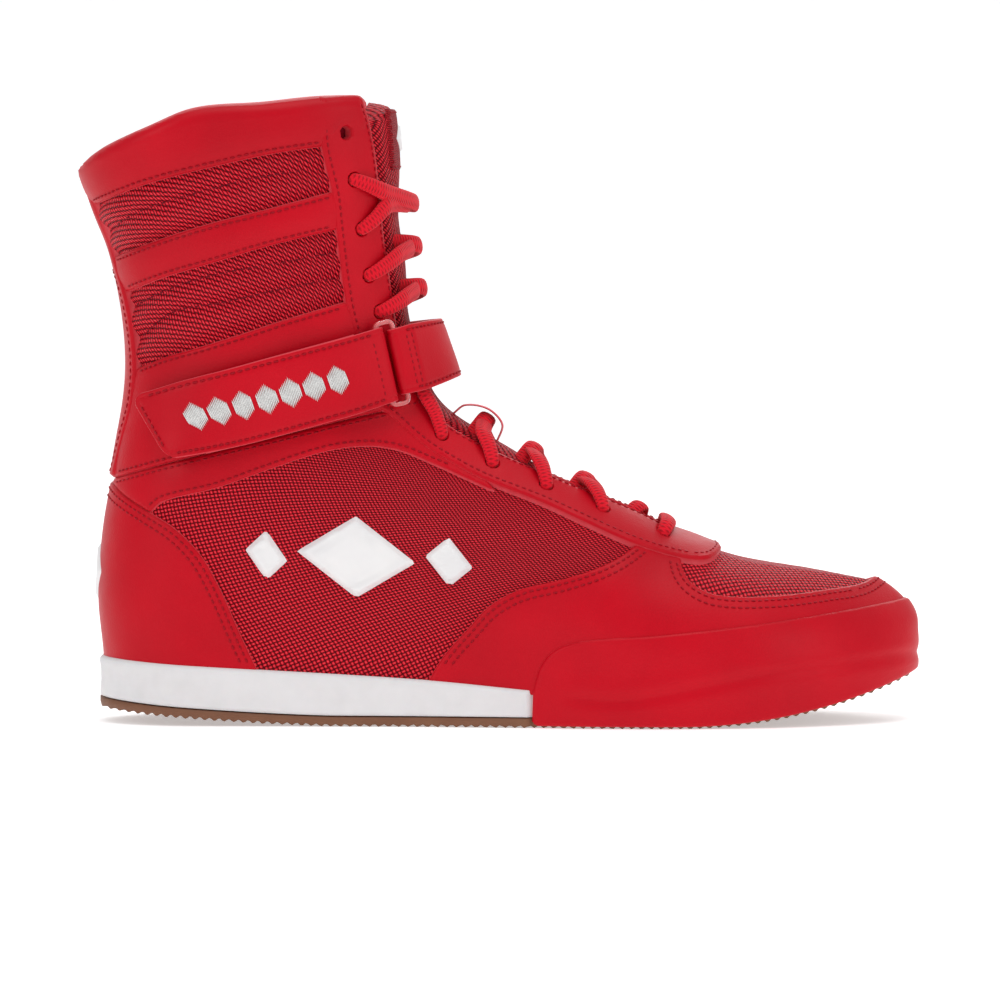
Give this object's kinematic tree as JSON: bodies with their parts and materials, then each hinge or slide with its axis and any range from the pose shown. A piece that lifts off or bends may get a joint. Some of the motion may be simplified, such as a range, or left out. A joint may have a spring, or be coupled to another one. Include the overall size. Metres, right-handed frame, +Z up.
{
  "type": "boxing boot",
  "caption": "Right high-top boxing boot in red mesh and synthetic, laced, with an ankle strap through a ring, white midsole and gum tread.",
  "frame": {"origin": "on the flat of the tread, under the middle of the foot", "axes": "+Z up, +X towards the toe, -Y the outer side"},
  "size_m": [0.2991, 0.1004, 0.2223],
  "materials": {
    "synthetic": "satin coated synthetic",
    "mesh": "woven mesh",
    "lining": "brushed knit",
    "lace": "woven flat cord",
    "white": "satin",
    "midsole": "matt foam",
    "gum": "matt gum",
    "plastic": "tinted clear",
    "foam": "open foam",
    "board": "fibre board"
  },
  "bodies": {
    "boot": {"ankle_band_lateral": "synthetic", "ankle_band_medial": "synthetic", "ankle_foam_lateral": "foam", "ankle_foam_medial": "foam", "ankle_saddle_lateral": "synthetic", "ankle_saddle_medial": "synthetic", "backstay": "synthetic", "badge_front_lateral": "white", "badge_front_medial": "white", "badge_middle_lateral": "white", "badge_middle_medial": "white", "badge_rear_lateral": "white", "badge_rear_medial": "white", "collar_band_lateral": "synthetic", "collar_band_medial": "synthetic", "eyestay": "synthetic", "facing_lateral": "synthetic", "facing_medial": "synthetic", "forefoot_overlay": "synthetic", "front_strap": "synthetic", "heel_counter": "board", "heel_mark": "white", "heel_overlay": "synthetic", "insole_board": "board", "lace_crossing_1": "lace", "lace_crossing_2": "lace", "lace_crossing_3": "lace", "lace_crossing_4": "lace", "lace_crossing_5": "lace", "lace_crossing_6": "lace", "lace_crossing_7": "lace", "lace_crossing_8": "lace", "lace_toe_bar": "lace", "lining": "lining", "loop_patch": "lining", "midsole": "midsole", "outsole": "gum", "quarter_mesh_lateral": "mesh", "quarter_mesh_medial": "mesh", "shaft_band_lateral": "synthetic", "shaft_band_medial": "synthetic", "sockliner": "foam", "strap_anchor": "synthetic", "toe_puff": "board", "toe_rand": "synthetic", "tongue_back": "lining", "tongue_face": "synthetic", "tongue_foam": "foam", "tongue_label": "synthetic", "tongue_mark": "white", "vamp_mesh": "mesh"},
    "ring": {"strap_ring": "plastic"},
    "tab": {"strap_tab": "synthetic", "hook_patch": "lining", "strap_stitching": "white"}
  },
  "joints": [
    {"name": "ring_swing", "type": "hinge", "parent": "boot", "child": "ring", "pos_m": [-0.03868, -0.02449, 0.1279], "axis": [-0.2179, -0.0278, 0.9756], "range_deg": [0, 20]},
    {"name": "strap_open", "type": "hinge", "parent": "ring", "child": "tab", "pos_m": [-0.04428, -0.0277, 0.12656], "axis": [-0.2179, -0.0278, 0.9756], "range_deg": [0, 120]}
  ]
}
